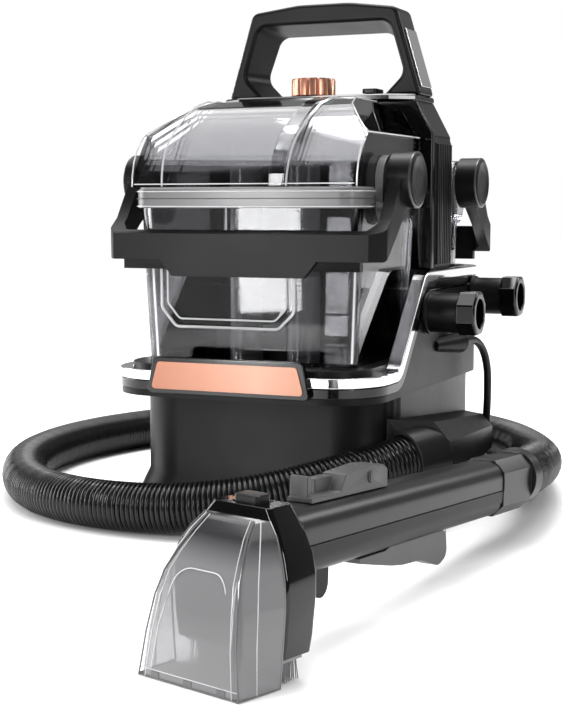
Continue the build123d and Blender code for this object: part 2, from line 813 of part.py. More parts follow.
with BuildPart() as hose_port:
    with BuildSketch(Plane.XZ.offset(106)):
        with BuildLine():
            Polyline((90, 32), (159, 32), (159, 68), (146, 83), (90, 83), close=True)
        make_face()
    with BuildSketch(Plane.XZ.offset(-96)):
        with BuildLine():
            Polyline((90, 32), (138, 32), (138, 52), (128, 62), (90, 68), close=True)
        make_face()
    loft()
    add(slab(PEDESTAL_HALF, PEDESTAL_FRONT, PEDESTAL_BACK, CORNER, 20, 80), mode=Mode.SUBTRACT)
    with BuildSketch(port_plane.offset(-16)):
        Circle(23.1)
    extrude(amount=60, mode=Mode.SUBTRACT)
    with BuildSketch(Plane.YZ.offset(100)):
        with Locations((-60, 52)):
            Circle(14)
    extrude(amount=30, mode=Mode.SUBTRACT)

with BuildPart() as hose_collar:
    with BuildSketch(port_plane.offset(-15.8)):
        Circle(23)
        Circle(15, mode=Mode.SUBTRACT)
    extrude(amount=15.8)
    with BuildSketch(port_plane):
        Circle(23)
        Circle(HOSE_RADIUS + 0.4, mode=Mode.SUBTRACT)
    extrude(amount=15)

# ---------------------------------------------------------------------- hand tool

wand_x = (WAND_TAIL - WAND_FRONT).normalized()
wand_y = Vector(0, 0, 1).cross(wand_x).normalized()
wand_z = wand_x.cross(wand_y)
WAND_LENGTH = (WAND_TAIL - WAND_FRONT).length
wand_plane = Plane(origin=WAND_FRONT, x_dir=wand_x, z_dir=wand_z)
trigger_plane = Plane(origin=WAND_FRONT, x_dir=wand_x, z_dir=wand_y * -1)


def across(distance):
    """Plane across the wand, that far from its front end: x sideways, y up."""
    return Plane(origin=WAND_FRONT + wand_x * distance, x_dir=wand_y, z_dir=wand_x)


SHELL_FRONT = 12
SHELL_BACK = 304
AIR_TUBE_RISE = 2
TRIGGER_PIVOT_X = 222
TRIGGER_PIVOT_Z = -20
SPRING_X = 176

with BuildPart() as wand_upper:
    with BuildSketch(across(SHELL_FRONT)):
        with BuildLine():
            FilletPolyline((-17, -3), (-17, 10), (-9, 18), (9, 18), (17, 10), (17, -3),
                           radius=13)
            Line((17, -3), (-17, -3))
        make_face()
        with BuildLine():
            FilletPolyline((-14.5, -3), (-14.5, 9), (-8, 15.5), (8, 15.5), (14.5, 9),
                           (14.5, -3), radius=10.5)
            Line((14.5, -3), (-14.5, -3))
        make_face(mode=Mode.SUBTRACT)
    extrude(amount=SHELL_BACK - SHELL_FRONT)

with BuildPart() as wand_lower:
    with BuildSketch(across(SHELL_FRONT)):
        with BuildLine():
            FilletPolyline((-17, -3.1), (-17, -14), (-9, -22), (9, -22), (17, -14),
                           (17, -3.1), radius=13)
            Line((17, -3.1), (-17, -3.1))
        make_face()
        with BuildLine():
            FilletPolyline((-14.5, -3.1), (-14.5, -13), (-8, -19.5), (8, -19.5),
                           (14.5, -13), (14.5, -3.1), radius=10.5)
            Line((14.5, -3.1), (-14.5, -3.1))
        make_face(mode=Mode.SUBTRACT)
    extrude(amount=SHELL_BACK - SHELL_FRONT)
    # hanging lug behind the nozzle
    with BuildSketch(trigger_plane.offset(-4)):
        with Locations((59.5, -31.5)):
            Circle(8.5)
        with Locations((59.5, -26)):
            Rectangle(17, 11)
    extrude(amount=8)
    with BuildSketch(wand_plane.offset(-24)):
        with Locations((168, 0)):
            Rectangle(136, 13)
    extrude(amount=8, mode=Mode.SUBTRACT)
    with BuildSketch(trigger_plane.offset(-8.4)):
        with Locations((TRIGGER_PIVOT_X, TRIGGER_PIVOT_Z)):
            Circle(2.1)
    extrude(amount=16.8, mode=Mode.SUBTRACT)

with BuildPart() as wand_tail:
    with BuildSketch(across(SHELL_BACK)):
        with BuildLine():
            Polyline((-17.5, -14), (-17.5, 10), (-9, 18.6), (9, 18.6), (17.5, 10), (17.5, -14),
                     (9, -22.4), (-9, -22.4), close=True)
        make_face()
    extrude(amount=WAND_LENGTH - SHELL_BACK - 14)
    with BuildSketch(across(WAND_LENGTH - 14)):
        Circle(21.5)
    extrude(amount=14)
    with BuildSketch(across(WAND_LENGTH - 12)):
        Circle(HOSE_RADIUS + 0.4)
    extrude(amount=14, mode=Mode.SUBTRACT)
    with BuildSketch(across(SHELL_BACK)):
        with Locations((0, AIR_TUBE_RISE)):
            Circle(12.8)
    extrude(amount=90, mode=Mode.SUBTRACT)

with BuildPart() as wand_air_tube:
    with BuildSketch(across(-14)):
        with Locations((0, AIR_TUBE_RISE)):
            Circle(12.4)
            Circle(10.8, mode=Mode.SUBTRACT)
    extrude(amount=SHELL_BACK + 14)

with BuildPart() as wand_solution_line:
    with BuildSketch(across(14)):
        with Locations((-12, -10)):
            Circle(2)
            Circle(1.2, mode=Mode.SUBTRACT)
    extrude(amount=SHELL_BACK - 16)
    with BuildSketch(across(205)):
        with Locations((-11, -12)):
            Circle(2.7)
    extrude(amount=30)

with BuildPart() as steam_slider:
    with BuildSketch(wand_plane.offset(18.2)):
        with BuildLine():
            Polyline((38, -8), (38, 8), (134, 8), (134, -8), close=True)
        make_face()
    extrude(amount=3)
    with BuildSketch(trigger_plane.offset(-8)):
        with BuildLine():
            Polyline((73, 21), (79, 31), (112, 33.5), (128, 32.5), (134, 29), (134, 21),
                     close=True)
        make_face()
    extrude(amount=16)
    # low rear cheek and upright thumb tab in front of the block
    with BuildSketch(wand_plane.offset(21)):
        with Locations((66, 4)):
            Rectangle(20, 8)
    extrude(amount=9)
    with BuildSketch(wand_plane.offset(21)):
        with Locations((42, 2)):
            Rectangle(4, 12)
    extrude(amount=12)
    with BuildSketch(Plane(origin=WAND_FRONT + wand_x * 110 + wand_z * 26.5 - wand_y * 9.2,
                           z_dir=wand_y)):
        Circle(3.6)
    extrude(amount=3)

with BuildPart() as trigger:
    with BuildSketch(trigger_plane.offset(-6)):
        with BuildLine():
            FilletPolyline(
                (150, -20.5), (216, -17), (229, -17), (233.5, -40), (220, -45.5),
                (192, -37.5), (165, -36.5), (148, -34.5), (128, -31), (103, -26.5),
                radius=[30, 4, 7, 12, 40, 60, 30, 40],
            )
            Polyline((103, -26.5), (103, -23.5), (138, -23.5), (150, -20.5))
        make_face()
    extrude(amount=12)
    with BuildSketch(trigger_plane.offset(-8)):
        with Locations((TRIGGER_PIVOT_X, TRIGGER_PIVOT_Z)):
            Circle(2.08)
    extrude(amount=16, mode=Mode.SUBTRACT)
    with BuildSketch(wand_plane.offset(-27)):
        with Locations((SPRING_X, 0)):
            Circle(4.5)
    extrude(amount=12, mode=Mode.SUBTRACT)

with BuildPart() as trigger_pin_spring:
    with BuildSketch(trigger_plane.offset(-8.3)):
        with Locations((TRIGGER_PIVOT_X, TRIGGER_PIVOT_Z)):
            Circle(2)
    extrude(amount=16.6)
    with BuildSketch(wand_plane.offset(-22.5)):
        with Locations((SPRING_X, 0)):
            Circle(4)
            Circle(3, mode=Mode.SUBTRACT)
    extrude(amount=11.5)

# ------------------------------------------------------------------------- nozzle

nozzle_plane = Plane(
    origin=NOZZLE_FOOT, z_dir=(0, 0, 1),
    x_dir=(cos(radians(NOZZLE_YAW)), sin(radians(NOZZLE_YAW)), 0),
)
# the window's level cuts: height, half width and place of its front face, then the same
# of its back face, where it meets the body
WINDOW_SECTIONS = [
    (0.4, 36.5, 0, 38.5, 31), (25, 33, 2.5, 40.5, 31), (45, 30, 6.5, 42, 31),
    (58, 27, 11, 41, 31.6), (68, 23.8, 17.5, 37.5, 33.6), (78, 20, 25.5, 31.5, 37),
    (86, 17, 34, 23.5, 40),
]
# the body's level cuts: height, half width, front and back
BODY_SECTIONS = [
    (15, 38.5, 31.5, 56), (25, 40.2, 31.5, 56.5), (45, 41.7, 31.5, 57.5),
    (58, 40.7, 32.1, 59), (68, 37.2, 34.1, 60.5), (78, 31.2, 37.5, 61.5),
    (86, 25, 40.5, 62), (92, 20.5, 42, 62),
]
BUTTON_BACK = 52


def window_volume(inset, top_drop):
    """The clear window's volume, pulled in by inset and lowered at the top."""
    with BuildPart() as volume:
        for height, front_half, front, back_half, back in WINDOW_SECTIONS:
            level = height if height < 80 else height - top_drop
            level = height - inset if height < 1 else level
            with BuildSketch(nozzle_plane.offset(level)):
                with BuildLine():
                    Polyline(
                        (-front_half + inset, front + inset), (front_half - inset, front + inset),
                        (back_half - inset, back - inset), (-back_half + inset, back - inset),
                        close=True,
                    )
                make_face()
        loft(ruled=True)
    return volume.part


with BuildPart() as nozzle_window:
    add(window_volume(0, 0))
    add(window_volume(2, 2), mode=Mode.SUBTRACT)
    # way through the back face into the body
    with BuildSketch(across(-20)):
        with Locations((0, AIR_TUBE_RISE)):
            Circle(11)
    extrude(amount=-18, mode=Mode.SUBTRACT)

with BuildPart() as nozzle_body:
    for height, half_width, front, back in BODY_SECTIONS:
        with BuildSketch(nozzle_plane.offset(height)):
            with Locations((0, (front + back) / 2)):
                RectangleRounded(2 * half_width, back - front, 3)
    loft(ruled=True)
    with BuildSketch(across(-14)):
        with BuildLine():
            Polyline((-18.5, -15), (-18.5, 11), (-10, 19.5), (10, 19.5), (18.5, 11),
                     (18.5, -15), (10, -23.5), (-10, -23.5), close=True)
        make_face()
    extrude(amount=25)
    with BuildSketch(across(12)):
        with Locations((0, AIR_TUBE_RISE)):
            Circle(12.6)
    extrude(amount=-60, mode=Mode.SUBTRACT)
    with BuildSketch(nozzle_plane.offset(88)):
        with Locations((0, BUTTON_BACK)):
            Rectangle(20, 14)
    extrude(amount=6, mode=Mode.SUBTRACT)

with BuildPart() as release_button:
    with BuildSketch(nozzle_plane.offset(90.6)):
        with Locations((0, BUTTON_BACK)):
            RectangleRounded(18, 12, 3)
    extrude(amount=6)
    fillet(faces().sort_by(Axis.Z)[-1].edges(), radius=1.2)

with BuildPart() as nozzle_brush:
    with BuildSketch(nozzle_plane.offset(12)):
        with Locations((0, 44)):
            RectangleRounded(70, 16, 4)
    extrude(amount=3)
    with BuildSketch(nozzle_plane.offset(0.3)):
        with Locations((0, 44)):
            with GridLocations(5.5, 4.5, 12, 3):
                Circle(1.5)
    extrude(amount=11.7)

# ------------------------------------------------------------------ hose and cord

hose = tube(HOSE_ROUTE, HOSE_RADIUS, route_radii(HOSE_ROUTE))

with BuildPart() as cord_gland:
    with BuildSketch(gland_plane.offset(-14)):
        Circle(4.8)
    extrude(amount=10)
    with BuildSketch(gland_plane.offset(-4)):
        Circle(7)
    extrude(amount=6)
    with BuildSketch(gland_plane.offset(2)):
        Circle(5.8)
    with BuildSketch(gland_plane.offset(GLAND_LENGTH)):
        Circle(4.2)
    loft()

power_cord = tube(CORD_ROUTE, CORD_RADIUS, route_radii(CORD_ROUTE))

with BuildPart() as power_cord_coil:
    with BuildSketch(Plane.XY):
        with Locations(COIL_CENTRE):
            Circle(COIL_OUTER)
            Circle(COIL_INNER, mode=Mode.SUBTRACT)
    extrude(amount=COIL_HEIGHT)

with BuildPart() as power_plug:
    with BuildSketch(Plane.YZ.offset(-28)):
        with Locations((164, COIL_HEIGHT + 9)):
            RectangleRounded(24, 18, 5)
    with BuildSketch(Plane.YZ.offset(8)):
        with Locations((164, COIL_HEIGHT + 9)):
            RectangleRounded(30, 18, 5)
    loft()
    with BuildSketch(Plane.YZ.offset(8)):
        with Locations((157.7, COIL_HEIGHT + 9), (170.3, COIL_HEIGHT + 9)):
            Rectangle(1.6, 6.4)
    extrude(amount=17)

# ------------------------------------------------------------------------- output

for name, route, radius in (("hose", HOSE_ROUTE, HOSE_RADIUS),
                            ("power_cord", CORD_ROUTE, CORD_RADIUS)):
    print(name, "arc radii:", [round(r) for r in route_radii(route)])

pieces = {
    "base_shell": base_shell, "base_plate": base_plate, "rubber_feet": rubber_feet,
    "base_screws": base_screws, "rim_black": rim_black, "rim_chrome": rim_chrome,
    "badge_bezel": badge_bezel, "badge_plate": badge_plate, "tank_tray": tank_tray,
    "recovery_tank": recovery_tank, "tank_collar": tank_collar, "lid_gasket": lid_gasket,
    "tank_lid": tank_lid, "standpipes": standpipes, "separator_hood": separator_hood,
    "tank_float": tank_float, "front_bail": front_bail, "front_bail_caps": front_bail_caps,
    "clean_tank": clean_tank, "fill_cap": fill_cap, "tank_valve": tank_valve,
    "valve_plunger": valve_plunger, "rear_bail": rear_bail, "rear_bail_caps": rear_bail_caps,
    "tower_cowl": tower_cowl, "tower_shell": tower_shell, "rib_panels": rib_panels,
    "control_deck": control_deck, "carry_handle": carry_handle, "handle_strips": handle_strips,
    "mode_knob": mode_knob, "power_button": power_button, "deck_switches": deck_switches,
    "vacuum_motor": vacuum_motor, "fan_housing": fan_housing, "fan_impeller": fan_impeller,
    "water_pump": water_pump, "steam_heater": steam_heater, "control_board": control_board,
    "tool_posts": tool_posts, "post_sockets": post_sockets, "hose_port": hose_port,
    "hose_collar": hose_collar, "hose": hose, "cord_gland": cord_gland, "power_cord": power_cord,
    "power_cord_coil": power_cord_coil, "power_plug": power_plug, "wand_upper": wand_upper,
    "wand_lower": wand_lower, "wand_tail": wand_tail, "wand_air_tube": wand_air_tube,
    "wand_solution_line": wand_solution_line, "steam_slider": steam_slider, "trigger": trigger,
    "trigger_pin_spring": trigger_pin_spring, "nozzle_window": nozzle_window,
    "nozzle_body": nozzle_body, "release_button": release_button, "nozzle_brush": nozzle_brush,
}

for label, piece in pieces.items():
    piece.part.label = label
    export_step(piece.part, f"parts/{label}.step")
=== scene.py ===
import json
import random
from math import cos, pi, radians, sin, tan

import bmesh
import bpy
from mathutils import Matrix, Vector


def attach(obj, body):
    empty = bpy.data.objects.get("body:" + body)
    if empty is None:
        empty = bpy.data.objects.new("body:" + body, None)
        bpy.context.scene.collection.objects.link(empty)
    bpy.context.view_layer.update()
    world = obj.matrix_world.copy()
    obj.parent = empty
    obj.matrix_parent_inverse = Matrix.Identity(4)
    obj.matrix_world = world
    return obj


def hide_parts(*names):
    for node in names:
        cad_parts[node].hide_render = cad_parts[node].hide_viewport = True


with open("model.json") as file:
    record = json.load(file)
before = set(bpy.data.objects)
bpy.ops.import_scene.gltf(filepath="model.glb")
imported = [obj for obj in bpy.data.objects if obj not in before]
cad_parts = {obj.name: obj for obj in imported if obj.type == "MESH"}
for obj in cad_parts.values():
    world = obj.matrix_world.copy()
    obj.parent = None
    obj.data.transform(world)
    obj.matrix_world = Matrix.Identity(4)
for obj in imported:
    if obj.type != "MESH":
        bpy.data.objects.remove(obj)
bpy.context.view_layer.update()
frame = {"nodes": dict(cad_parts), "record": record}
NODES = frame["nodes"]
SLOTS = {s["node"]: s["material_slot"] for s in frame["record"]["subparts"]}
BODIES = {n: body for body, members in frame["record"]["behaviour"]["bodies"].items()
          for n in members}
MM = 0.001
RNG = random.Random(7)


def point(x, y, z):
    """A place given in millimetres."""
    return Vector((x, y, z)) * MM


# ------------------------------------------------------------------------ materials

class Nodes:
    """A material's node tree, with short ways to add and join nodes."""

    def __init__(self, name):
        self.material = bpy.data.materials.new(name)
        self.material.use_nodes = True
        self.tree = self.material.node_tree
        self.tree.nodes.clear()
        self.output = self.tree.nodes.new("ShaderNodeOutputMaterial")
        self.place = self.tree.nodes.new("ShaderNodeTexCoord").outputs["Object"]

    def add(self, kind, **settings):
        node = self.tree.nodes.new(kind)
        for key, value in settings.items():
            setattr(node, key, value)
        return node

    def link(self, a, b):
        self.tree.links.new(a, b)

    def noise(self, scale, detail=3, stretch=None):
        node = self.add("ShaderNodeTexNoise")
        node.inputs["Scale"].default_value = scale
        node.inputs["Detail"].default_value = detail
        where = self.place
        if stretch:
            mapping = self.add("ShaderNodeMapping")
            mapping.inputs["Scale"].default_value = stretch
            self.link(where, mapping.inputs["Vector"])
            where = mapping.outputs["Vector"]
        self.link(where, node.inputs["Vector"])
        return node.outputs["Fac"]

    def spread(self, value, low, high, source=(0.3, 0.7)):
        node = self.add("ShaderNodeMapRange")
        node.inputs["From Min"].default_value = source[0]
        node.inputs["From Max"].default_value = source[1]
        node.inputs["To Min"].default_value = low
        node.inputs["To Max"].default_value = high
        self.link(value, node.inputs["Value"])
        return node.outputs["Result"]

    def ramp(self, value, stops):
        node = self.add("ShaderNodeValToRGB")
        elements = node.color_ramp.elements
        while len(elements) < len(stops):
            elements.new(0.5)
        for element, (position, colour) in zip(elements, stops):
            element.position = position
            element.color = (*colour, 1)
        self.link(value, node.inputs["Fac"])
        return node.outputs["Color"]

    def bump(self, value, strength, distance):
        node = self.add("ShaderNodeBump")
        node.inputs["Strength"].default_value = strength
        node.inputs["Distance"].default_value = distance
        self.link(value, node.inputs["Height"])
        return node.outputs["Normal"]


def shade(colour, factor):
    return tuple(min(1.0, c * factor) for c in colour)


def moulded(name, colour, rough, grain=0.0, grain_scale=1400, coat=0.0, metal=0.0,
            variation=0.12, specular=0.5):
    """Moulded plastic, rubber or cast metal: mottled colour, uneven gloss, fine grain."""
    m = Nodes(name)
    bsdf = m.add("ShaderNodeBsdfPrincipled")
    mottling = m.noise(9, 4)
    low, high = shade(colour, 1 - variation), shade(colour, 1 + variation)
    m.link(m.ramp(mottling, [(0.3, low), (0.7, high)]), bsdf.inputs["Base Color"])
    m.link(m.spread(m.noise(34, 5), rough * 0.95, rough * 1.05), bsdf.inputs["Roughness"])
    bsdf.inputs["Metallic"].default_value = metal
    bsdf.inputs["Coat Weight"].default_value = coat
    bsdf.inputs["Coat Roughness"].default_value = 0.08
    bsdf.inputs["Specular IOR Level"].default_value = specular
    if grain:
        m.link(m.bump(m.noise(grain_scale, 2), grain, 0.00015), bsdf.inputs["Normal"])
    m.link(bsdf.outputs["BSDF"], m.output.inputs["Surface"])
    return m.material


def clear(name, tint, gloss=0.8, rough=0.03):
    """Clear moulded plastic: see-through with a tint, mirror-like towards its edges."""
    m = Nodes(name)
    see = m.add("ShaderNodeBsdfTransparent")
    m.link(m.ramp(m.noise(5, 2), [(0.3, shade(tint, 0.97)), (0.7, tint)]), see.inputs["Color"])
    skin = m.add("ShaderNodeBsdfPrincipled")
    skin.inputs["Base Color"].default_value = (0.93, 0.93, 0.94, 1)
    skin.inputs["Metallic"].default_value = 1
    m.link(m.spread(m.noise(40, 3), rough * 0.7, rough * 1.3), skin.inputs["Roughness"])
    fresnel = m.add("ShaderNodeFresnel")
    fresnel.inputs["IOR"].default_value = 1.55
    mixed = m.add("ShaderNodeMixShader")
    m.link(m.spread(fresnel.outputs["Fac"], 0.014, 0.9, (0.05, gloss)), mixed.inputs["Fac"])
    m.link(see.outputs["BSDF"], mixed.inputs[1])
    m.link(skin.outputs["BSDF"], mixed.inputs[2])
    m.link(mixed.outputs["Shader"], m.output.inputs["Surface"])
    return m.material


def window_clear_with_painted_shade(name):
    """The nozzle's hazy clear plastic, with painted shade that makes it dark towards its neck."""
    m = Nodes(name)
    split = m.add("ShaderNodeSeparateXYZ")
    m.link(m.place, split.inputs["Vector"])
    # painted shade: by height, the see-through tint and the milky colour darken towards the
    # nozzle's top
    painted_shade_height = m.spread(split.outputs["Z"], 0, 1, (0.0, 0.09))
    see = m.add("ShaderNodeBsdfTransparent")
    m.link(m.ramp(painted_shade_height, [(0, (0.78, 0.78, 0.79)), (0.6, (0.7, 0.7, 0.71)),
                         (0.85, (0.3, 0.3, 0.31)), (1, (0.15, 0.15, 0.155))]),
           see.inputs["Color"])
    milky = m.add("ShaderNodeBsdfPrincipled")
    m.link(m.ramp(painted_shade_height, [(0, (0.32, 0.32, 0.325)), (0.35, (0.3, 0.3, 0.305)),
                         (0.7, (0.22, 0.22, 0.225)), (0.86, (0.03, 0.03, 0.032))]),
           milky.inputs["Base Color"])
    m.link(m.spread(m.noise(14, 3), 0.14, 0.18), milky.inputs["Roughness"])
    mixed = m.add("ShaderNodeMixShader")
    m.link(m.spread(painted_shade_height, 0.5, 0.85, (0.45, 1)), mixed.inputs["Fac"])
    m.link(see.outputs["BSDF"], mixed.inputs[1])
    m.link(milky.outputs["BSDF"], mixed.inputs[2])
    m.link(mixed.outputs["Shader"], m.output.inputs["Surface"])
    return m.material


def copper_with_painted_highlight(name, metal, brightness):
    """Copper plating with fine brushing and a soft brightness change across its width, which is a
    painted highlight: lighter towards the right, standing in for a strip lamp's reflection.
    """
    m = Nodes(name)
    bsdf = m.add("ShaderNodeBsdfPrincipled")
    split = m.add("ShaderNodeSeparateXYZ")
    m.link(m.place, split.inputs["Vector"])
    # painted highlight: across X the colour ramp turns lighter towards the right, a painted
    # reflection of a strip lamp
    along = m.spread(split.outputs["X"], 0, 1, (-0.066, 0.066))
    colour = m.ramp(along, [(0, shade((0.4, 0.17, 0.105), brightness)),
                            (0.35, shade((0.48, 0.23, 0.155), brightness)),
                            (0.7, shade((0.58, 0.31, 0.225), brightness)),
                            (1, shade((0.5, 0.25, 0.17), brightness))])
    m.link(colour, bsdf.inputs["Base Color"])
    bsdf.inputs["Metallic"].default_value = metal
    bsdf.inputs["Specular IOR Level"].default_value = 0.2
    brushed = m.noise(60, 2, (1, 1, 8))
    m.link(m.spread(brushed, 0.3, 0.36), bsdf.inputs["Roughness"])
    m.link(bsdf.outputs["BSDF"], m.output.inputs["Surface"])
    return m.material


MATERIALS = {
    "black_plastic": moulded("black_plastic", (0.0055, 0.0055, 0.0058), 0.36, grain=0.1,
                             specular=0.12),
    "gloss_black": moulded("gloss_black", (0.002, 0.002, 0.0022), 0.09, specular=0.42),
    "dark_grey": moulded("dark_grey", (0.011, 0.011, 0.0114), 0.3, grain=0.1,
                         specular=0.16),
    "mid_grey": moulded("mid_grey", (0.1, 0.1, 0.103), 0.22, grain=0.1),
    "bright_trim": moulded("bright_trim", (0.9, 0.9, 0.91), 0.08, metal=1, variation=0.03),
    # copper with a painted highlight, lighter towards the right
    "copper_trim": copper_with_painted_highlight("copper_trim", 0.85, 1.1),
    "smoke_clear": clear("smoke_clear", (0.8, 0.8, 0.81)),
    # the nozzle's clear plastic, with painted shade darkening it towards its neck
    "grey_clear": window_clear_with_painted_shade("grey_clear"),
    "seal_rubber": moulded("seal_rubber", (0.3, 0.3, 0.3), 0.5, grain=0.3),
    "foot_rubber": moulded("foot_rubber", (0.012, 0.012, 0.012), 0.7, grain=0.6),
    "steel": moulded("steel", (0.5, 0.5, 0.52), 0.3, metal=1),
    "cast_aluminium": moulded("cast_aluminium", (0.6, 0.6, 0.62), 0.45, metal=1, grain=0.5),
    "hose_grey": moulded("hose_grey", (0.005, 0.005, 0.0054), 0.24, specular=0.3),
    "cord_black": moulded("cord_black", (0.006, 0.006, 0.0065), 0.42, grain=0.2,
                          specular=0.25),
    "white_plastic": moulded("white_plastic", (0.72, 0.72, 0.72), 0.4),
    "bristle_grey": moulded("bristle_grey", (0.22, 0.22, 0.23), 0.5),
    "board_green": moulded("board_green", (0.03, 0.16, 0.08), 0.4),
}
WAND_DARK = moulded("wand_dark", (0.01, 0.01, 0.0104), 0.3, specular=0.24)
WAND_BLACK = moulded("wand_black", (0.003, 0.003, 0.0033), 0.3, grain=0.1, specular=0.1)
# the badge's copper carries the same painted highlight, lighter towards the right
BADGE = copper_with_painted_highlight("badge_copper_painted_highlight", 0.12, 1.0)
GREY_SATIN = moulded("grey_satin", (0.045, 0.045, 0.0465), 0.4, grain=0.1, specular=0.3)
TRIGGER_GREY = moulded("trigger_grey", (0.06, 0.06, 0.062), 0.42, grain=0.1, specular=0.3)
HUB_RING = moulded("hub_ring", (0.03, 0.03, 0.032), 0.22, grain=0.1, specular=0.4)
SEAL_BAND = moulded("seal_band", (0.13, 0.13, 0.133), 0.25, grain=0.1, specular=0.4)
# painted highlight: a light grey glossy colour for the bright edges and lines of the clear plastic
# parts
EDGE_PAINTED_HIGHLIGHT = moulded("edge_painted_highlight", (0.5, 0.5, 0.51), 0.12, coat=0.5)
LENS_LINE = moulded("lens_line", (0.1, 0.1, 0.104), 0.15, coat=0.5)

for node_name, node in NODES.items():
    node.data.materials.clear()
    node.data.materials.append(MATERIALS[SLOTS[node_name]])


# --------------------------------------------------------------------- mesh helpers

def publish(name, mesh, body, slot_name, material=None, replaces=(), crease=35):
    """Adds a mesh to the scene as a piece of that body."""
    piece = bpy.data.objects.new(name, mesh)
    bpy.context.scene.collection.objects.link(piece)
    mesh.materials.clear()
    mesh.materials.append(material or MATERIALS[slot_name])
    for polygon in mesh.polygons:
        polygon.use_smooth = True
    mesh.set_sharp_from_angle(angle=radians(crease))
    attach(piece, body)
    if replaces:
        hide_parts(*replaces)
    return piece


def bevelled(piece, width, segments=2, angle=32):
    """Rounds the piece's edges."""
    bevel = piece.modifiers.new("rounded", "BEVEL")
    bevel.width = width * MM
    bevel.segments = segments
    bevel.limit_method = "ANGLE"
    bevel.angle_limit = radians(angle)
    bevel.harden_normals = True
    return piece


def softened(name, width, material=None, segments=2):
    """A CAD node's shape with rounded edges, shown in its place."""
    mesh = NODES[name].data.copy()
    bm = bmesh.new()
    bm.from_mesh(mesh)
    bmesh.ops.remove_doubles(bm, verts=bm.verts, dist=2e-5)
    bmesh.ops.dissolve_limit(bm, angle_limit=radians(0.6), verts=bm.verts, edges=bm.edges)
    bm.to_mesh(mesh)
    bm.free()
    piece = publish(name + "_rounded", mesh, BODIES[name], SLOTS[name], material, (name,))
    return bevelled(piece, width, segments)


def from_rings(rings, close_ends=True):
    """Mesh through rings of points, each with as many points as the others."""
    mesh = bpy.data.meshes.new("rings")
    count = len(rings[0])
    points = [p for ring in rings for p in ring]
    faces = []
    for i in range(len(rings) - 1):
        for j in range(count):
            k = (j + 1) % count
            faces.append((i * count + j, i * count + k, (i + 1) * count + k,
                          (i + 1) * count + j))
    if close_ends:
        faces.append(tuple(range(count))[::-1])
        last = (len(rings) - 1) * count
        faces.append(tuple(range(last, last + count)))
    mesh.from_pydata([tuple(p) for p in points], [], faces)
    mesh.update()
    return mesh


def lathe(profile, origin, axis, around=48, wobble=None):
    """Turned shape: profile lists (radius, height) in mm along the axis."""
    axis = Vector(axis).normalized()
    side = axis.orthogonal().normalized()
    other = axis.cross(side)
    rings = []
    for radius, height in profile:
        ring = []
        for j in range(around):
            angle = 2 * pi * j / around
            r = radius * (wobble(angle, height) if wobble else 1)
            ring.append(point(*origin) + (side * cos(angle) + other * sin(angle)) * r * MM
                        + axis * height * MM)
        rings.append(ring)
    return from_rings(rings)


def prism(outline, plane, thickness):
    """Extruded outline. plane is (origin, x direction, y direction), all in mm."""
    origin, ux, uy = (Vector(a) for a in plane)
    normal = ux.cross(uy).normalized()
    low = [(origin + ux * a + uy * b) * MM for a, b in outline]
    high = [p + normal * thickness * MM for p in low]
    return from_rings([low, high])


def along(points, section, up=(0, 0, 1)):
    """Mesh of a section (side, up pairs in mm) carried along points given in metres."""
    rings = []
    side = None
    for i, here in enumerate(points):
        before, after = points[max(i - 1, 0)], points[min(i + 1, len(points) - 1)]
        forward = (after - before).normalized()
        side = forward.cross(Vector(up)).normalized()
        top = side.cross(forward)
        rings.append([here + side * a * MM + top * b * MM for a, b in section])
    return from_rings(rings)


def round_section(radius, count=10):
    return [(radius * cos(2 * pi * j / count), radius * sin(2 * pi * j / count))
            for j in range(count)]


def rounded(outline, radius, steps=5):
    """An open outline of pairs with its inner corners turned into arcs of that radius."""
    places = [Vector(p) for p in outline]
    out = [places[0]]
    for before, corner, after in zip(places, places[1:], places[2:]):
        arrive, leave = (before - corner).normalized(), (after - corner).normalized()
        half = arrive.angle(leave) / 2
        reach = radius / tan(half)
        centre = corner + (arrive + leave).normalized() * radius / sin(half)
        start, end = corner + arrive * reach - centre, corner + leave * reach - centre
        for k in range(steps + 1):
            share = k / steps
            out.append(centre + (start.lerp(end, share)).normalized() * radius)
    out.append(places[-1])
    return [tuple(p) for p in out]


def wire(name, points, radius, body, slot_name, material=None):
    """Round bead along points given in mm."""
    places = [point(*p) for p in points]
    mesh = along(places, round_section(radius, 8), (0.03, 0.05, 1))
    return publish(name, mesh, body, slot_name, material)


# --------------------------------------------------------------------------- camera

camera_data = bpy.data.cameras.new("camera")
camera_data.lens = 74.13
camera_data.sensor_width = 36
camera = bpy.data.objects.new("camera", camera_data)
bpy.context.scene.collection.objects.link(camera)
camera.location = point(489.4, -1199.2, 252.6)
AZIMUTH, PITCH = radians(23.46), radians(5.89)
looking = Vector((-sin(AZIMUTH) * cos(PITCH), cos(AZIMUTH) * cos(PITCH), -sin(PITCH)))
camera.rotation_euler = looking.to_track_quat("-Z", "Y").to_euler()
bpy.context.scene.camera = camera

# ------------------------------------------------------------------- hose and cord

